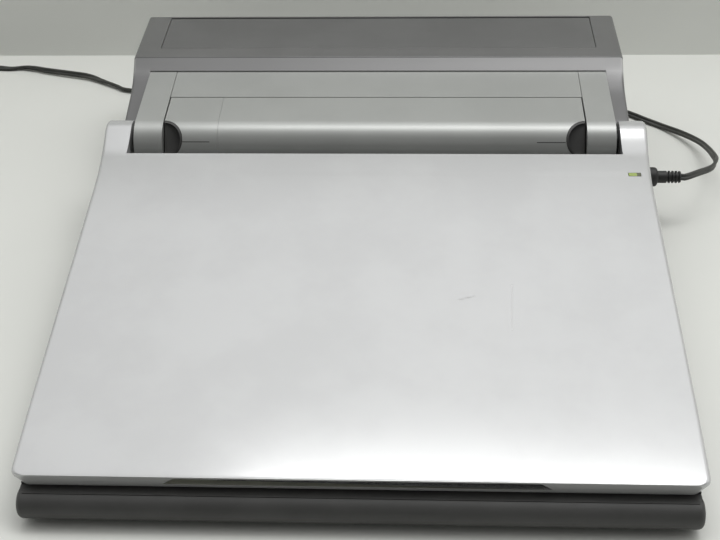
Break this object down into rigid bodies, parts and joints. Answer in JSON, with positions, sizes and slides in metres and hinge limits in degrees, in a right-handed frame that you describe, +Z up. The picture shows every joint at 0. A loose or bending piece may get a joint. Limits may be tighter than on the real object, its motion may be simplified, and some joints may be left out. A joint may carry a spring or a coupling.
{
  "type": "electronic word processor",
  "caption": "Portable wedge-shaped word processor: hinged flat lid with a display, keyboard deck, docked hand scanner and a printer under a rear hump, with its power lead.",
  "frame": {"origin": "centre of the machine's footprint, on the table, measured without the power lead and adapter", "axes": "+X to the machine's right, +Y to its rear (the printer), +Z up"},
  "size_m": [0.7569, 0.5538, 0.0923],
  "materials": {
    "silver": "fine satin, warm light grey",
    "silver_dock": "fine satin, darker than the lid",
    "grey": "fine grained dark grey",
    "dark": "fine grained charcoal",
    "black": "fine grained black",
    "rubber": "matt black",
    "steel": "drawn or folded, unpainted",
    "board": "green solder mask",
    "keycap": "fine grained grey",
    "led": "clear yellow green lens, unlit",
    "glass": "dark display panel, unlit"
  },
  "bodies": {
    "base": {"lower_case": "dark", "keyboard_deck": "dark", "keyboard_plate": "steel", "main_board": "board", "power_board": "board", "power_jack": "black", "disk_drive": "steel", "foot_front_left": "rubber", "foot_front_right": "rubber", "foot_rear_left": "rubber", "foot_rear_right": "rubber", "hinge_pin_left": "steel", "hinge_pin_right": "steel", "dock_frame": "silver_dock", "dock_panel": "silver_dock", "printer_housing": "grey", "printer_frame": "steel", "feed_motor": "steel", "carriage_rod": "steel", "carriage_motor": "steel", "timing_belt": "rubber", "power_plug": "black", "power_lead": "black", "lead_coil": "black", "lead_end": "black", "lead_tie": "black", "power_adapter": "black", "adapter_blade_left": "steel", "adapter_blade_right": "steel"},
    "lid": {"lid_shell": "silver", "indicator_window": "led", "display_frame": "dark", "display_panel": "glass"},
    "cover": {"printer_cover": "dark"},
    "scanner": {"scanner_cover": "silver_dock", "scanner_end_cap": "silver_dock", "finger_well_left": "dark", "finger_well_right": "dark", "scanner_base": "dark", "scanner_sensor": "black"},
    "scanner_wheel": {"scanner_roller": "rubber"},
    "platen": {"platen_roller": "rubber", "platen_shaft": "steel", "platen_gear": "black"},
    "pinion": {"feed_pinion": "steel"},
    "carriage": {"print_carriage": "black", "thermal_head": "steel", "ribbon_cassette": "dark"},
    "pulley": {"drive_pulley": "steel"},
    "lever": {"paper_release_lever": "keycap"},
    "row_1": {"key_row_1": "keycap"},
    "row_2": {"key_row_2": "keycap"},
    "row_3": {"key_row_3": "keycap"},
    "row_4": {"key_row_4": "keycap"},
    "modifiers": {"modifier_keys": "keycap"},
    "functions": {"function_keys": "keycap"},
    "cursors": {"cursor_keys": "keycap"},
    "space": {"space_bar": "keycap"},
    "power": {"power_button": "keycap"},
    "eject": {"disk_eject_button": "dark"}
  },
  "joints": [
    {"name": "lid_open", "type": "hinge", "parent": "base", "child": "lid", "pos_m": [0, 0.09065, 0.0601], "axis": [-1, 0, 0], "range_deg": [0, 115]},
    {"name": "printer_cover_open", "type": "hinge", "parent": "base", "child": "cover", "pos_m": [0, 0.22995, 0.0898], "axis": [-1, 0, 0], "range_deg": [0, 95]},
    {"name": "scanner_lift", "type": "slide", "parent": "base", "child": "scanner", "axis": [0, 0, -1], "range_m": [-0.045, 0]},
    {"name": "scanner_roller_turn", "type": "hinge", "parent": "scanner", "child": "scanner_wheel", "pos_m": [0, 0.10765, 0.0532], "axis": [1, 0, 0], "continuous": true},
    {"name": "platen_turn", "type": "hinge", "parent": "base", "child": "platen", "pos_m": [0, 0.20965, 0.066], "axis": [1, 0, 0], "continuous": true},
    {"name": "feed_pinion_turn", "type": "hinge", "parent": "base", "child": "pinion", "pos_m": [0, 0.1972, 0.05355], "axis": [1, 0, 0], "continuous": true},
    {"name": "carriage_travel", "type": "slide", "parent": "base", "child": "carriage", "axis": [1, 0, 0], "range_m": [-0.095, 0.095]},
    {"name": "drive_pulley_turn", "type": "hinge", "parent": "base", "child": "pulley", "pos_m": [-0.135, 0.17765, 0.0408], "axis": [0, 0, 1], "continuous": true},
    {"name": "paper_release", "type": "hinge", "parent": "base", "child": "lever", "pos_m": [-0.1516, 0.19765, 0.062], "axis": [1, 0, 0], "range_deg": [0, 25]},
    {"name": "key_row_1_press", "type": "slide", "parent": "base", "child": "row_1", "axis": [0, 0.1102, -0.9939], "range_m": [0, 0.003], "stiffness_N_per_m": 500, "springref_m": -0.003},
    {"name": "key_row_2_press", "type": "slide", "parent": "base", "child": "row_2", "axis": [0, 0.1102, -0.9939], "range_m": [0, 0.003], "stiffness_N_per_m": 500, "springref_m": -0.003},
    {"name": "key_row_3_press", "type": "slide", "parent": "base", "child": "row_3", "axis": [0, 0.1102, -0.9939], "range_m": [0, 0.003], "stiffness_N_per_m": 500, "springref_m": -0.003},
    {"name": "key_row_4_press", "type": "slide", "parent": "base", "child": "row_4", "axis": [0, 0.1102, -0.9939], "range_m": [0, 0.003], "stiffness_N_per_m": 500, "springref_m": -0.003},
    {"name": "modifier_keys_press", "type": "slide", "parent": "base", "child": "modifiers", "axis": [0, 0.1102, -0.9939], "range_m": [0, 0.003], "stiffness_N_per_m": 500, "springref_m": -0.003},
    {"name": "function_keys_press", "type": "slide", "parent": "base", "child": "functions", "axis": [0, 0.1102, -0.9939], "range_m": [0, 0.003], "stiffness_N_per_m": 500, "springref_m": -0.003},
    {"name": "cursor_keys_press", "type": "slide", "parent": "base", "child": "cursors", "axis": [0, 0.1102, -0.9939], "range_m": [0, 0.003], "stiffness_N_per_m": 500, "springref_m": -0.003},
    {"name": "space_bar_press", "type": "slide", "parent": "base", "child": "space", "axis": [0, 0.1102, -0.9939], "range_m": [0, 0.003], "stiffness_N_per_m": 300, "springref_m": -0.002},
    {"name": "power_button_press", "type": "slide", "parent": "base", "child": "power", "axis": [0, 0.1102, -0.9939], "range_m": [0, 0.0015], "stiffness_N_per_m": 300, "springref_m": -0.001},
    {"name": "disk_eject_press", "type": "slide", "parent": "base", "child": "eject", "axis": [-1, 0, 0], "range_m": [0, 0.003], "stiffness_N_per_m": 300, "springref_m": -0.001}
  ],
  "couplings": [
    {"joint": "feed_pinion_turn", "follows": "platen_turn", "ratio": -2.6667},
    {"joint": "drive_pulley_turn", "follows": "carriage_travel", "rad_per_m": -158.73}
  ]
}
